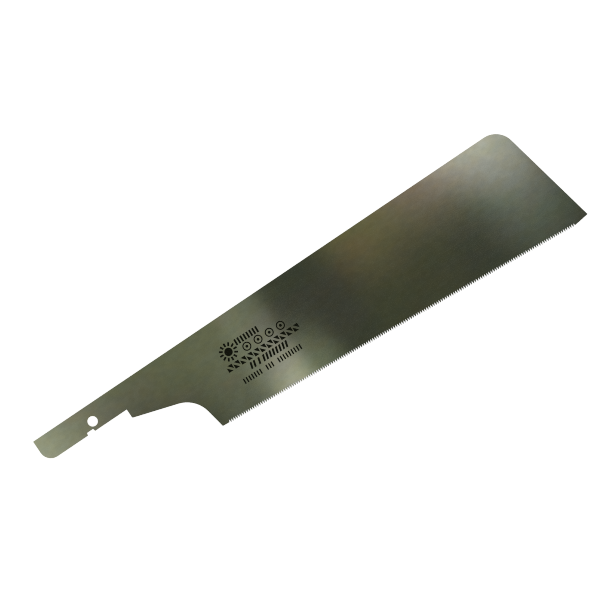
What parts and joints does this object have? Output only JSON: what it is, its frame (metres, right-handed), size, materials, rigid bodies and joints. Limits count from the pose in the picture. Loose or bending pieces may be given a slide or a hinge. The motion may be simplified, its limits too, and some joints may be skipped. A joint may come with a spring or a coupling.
{
  "type": "pull saw blade",
  "caption": "Flat steel blade of a single-edged pull saw: slim tang with hole and notch, shoulder, curved throat, fine alternately bent teeth and a rounded toe.",
  "frame": {"origin": "centre of the location hole in the tang, on the middle plane of the sheet", "axes": "+X along the straight back edge towards the toe, +Y towards the back edge (the teeth are on the -Y side), +Z out of the printed face, up when the blade lies flat"},
  "size_m": [0.3344, 0.0708, 0.001],
  "materials": {
    "steel": "satin rolled steel with a fine lengthwise grain and a thin olive film of oil",
    "ink": "matt dark printing ink, slightly worn"
  },
  "bodies": {
    "root": {"blade": "steel", "printed_mark": "ink"}
  },
  "joints": []
}
